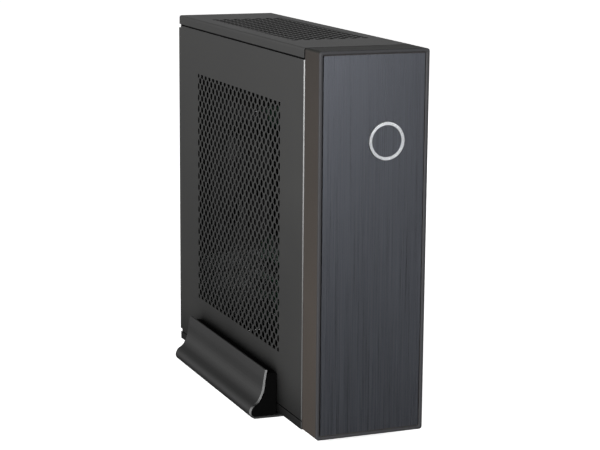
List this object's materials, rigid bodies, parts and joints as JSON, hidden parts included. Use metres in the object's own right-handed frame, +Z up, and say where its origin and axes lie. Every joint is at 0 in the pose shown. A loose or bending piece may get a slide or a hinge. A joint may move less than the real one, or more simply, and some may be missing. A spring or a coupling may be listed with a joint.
{
  "type": "desktop computer tower",
  "caption": "Slim upright desktop computer with perforated side and top, brushed front with ring power button, on a flared cradle stand.",
  "frame": {"origin": "on the floor under the middle of the object's bounding box", "axes": "+X to the viewer's right when facing the front, +Y from the front face to the back, +Z up"},
  "size_m": [0.1472, 0.3582, 0.326],
  "materials": {
    "moulded_black": "fine moulded texture",
    "brushed_dark": "dark anodised, vertical brushing",
    "silver_ring": "satin",
    "painted_case": "fine powder coat",
    "zinc_steel": "zinc plated",
    "spring_steel": "plain",
    "green_board": "solder mask",
    "socket_metal": "plated",
    "socket_black": "moulded",
    "brass": "plain",
    "fin_aluminium": "mill",
    "cable_black": "sleeved",
    "cable_red": "smooth",
    "black_rubber": "matt",
    "drive_grey": "cast"
  },
  "bodies": {
    "case": {"fascia": "moulded_black", "front_plate": "brushed_dark", "button_spring": "spring_steel", "button_guide": "moulded_black", "power_switch": "socket_black", "switch_board": "green_board", "front_io_board": "green_board", "front_usb_ports": "socket_metal", "front_audio_jacks": "socket_black", "top_cover": "painted_case", "bottom_pan": "painted_case", "front_bulkhead": "zinc_steel", "rear_panel": "zinc_steel", "chassis_rails": "zinc_steel", "side_panel_right": "painted_case", "rear_screws": "zinc_steel", "motherboard_tray": "zinc_steel", "standoffs": "brass", "board_screws": "zinc_steel", "motherboard": "green_board", "board_components": "socket_black", "rear_usb_ports": "socket_metal", "network_port": "socket_metal", "video_ports": "socket_metal", "rear_audio_jacks": "socket_black", "io_shield": "zinc_steel", "processor": "socket_metal", "heatsink": "fin_aluminium", "cpu_fan_frame": "moulded_black", "memory_sockets": "socket_black", "memory_modules": "green_board", "expansion_slots": "socket_black", "slot_covers": "zinc_steel", "coin_cell": "socket_metal", "psu_case": "zinc_steel", "psu_board": "green_board", "psu_fan_frame": "moulded_black", "mains_inlet": "moulded_black", "switch_frame": "moulded_black", "psu_screws": "zinc_steel", "drive_bracket": "zinc_steel", "solid_state_drive": "moulded_black", "hard_drive": "drive_grey", "power_cable": "cable_black", "drive_cables": "cable_red", "front_cable": "cable_black", "stand": "painted_case", "stand_liners": "moulded_black", "stand_bumpers": "black_rubber", "stand_pads": "black_rubber", "stand_screws": "zinc_steel"},
    "power_button": {"power_button": "brushed_dark", "button_ring": "silver_ring"},
    "left_panel": {"side_panel_left": "painted_case"},
    "upper_thumbscrew": {"thumbscrew_upper": "zinc_steel"},
    "lower_thumbscrew": {"thumbscrew_lower": "zinc_steel"},
    "cpu_fan": {"cpu_fan_rotor": "moulded_black"},
    "psu_fan": {"psu_fan_rotor": "moulded_black"},
    "mains_rocker": {"psu_switch": "moulded_black"}
  },
  "joints": [
    {"name": "power_button_press", "type": "slide", "parent": "case", "child": "power_button", "axis": [0, 1, 0], "range_m": [0, 0.0014], "stiffness_N_per_m": 400, "springref_m": -0.002, "deforming": ["button_spring"]},
    {"name": "left_panel_slide", "type": "slide", "parent": "case", "child": "left_panel", "axis": [0, 1, 0], "range_m": [0, 0.018]},
    {"name": "upper_thumbscrew_turn", "type": "hinge", "parent": "left_panel", "child": "upper_thumbscrew", "pos_m": [-0.041, 0.174, 0.244], "axis": [0, 1, 0], "continuous": true},
    {"name": "lower_thumbscrew_turn", "type": "hinge", "parent": "left_panel", "child": "lower_thumbscrew", "pos_m": [-0.041, 0.174, 0.052], "axis": [0, 1, 0], "continuous": true},
    {"name": "cpu_fan_spin", "type": "hinge", "parent": "case", "child": "cpu_fan", "pos_m": [-0.018, 0.083, 0.178], "axis": [-1, 0, 0], "continuous": true},
    {"name": "psu_fan_spin", "type": "hinge", "parent": "case", "child": "psu_fan", "pos_m": [0, 0.061, 0.315], "axis": [0, 0, 1], "continuous": true},
    {"name": "mains_rocker_tip", "type": "hinge", "parent": "case", "child": "mains_rocker", "pos_m": [0.017, 0.1692, 0.291], "axis": [-1, 0, 0], "range_deg": [0, 20]}
  ]
}
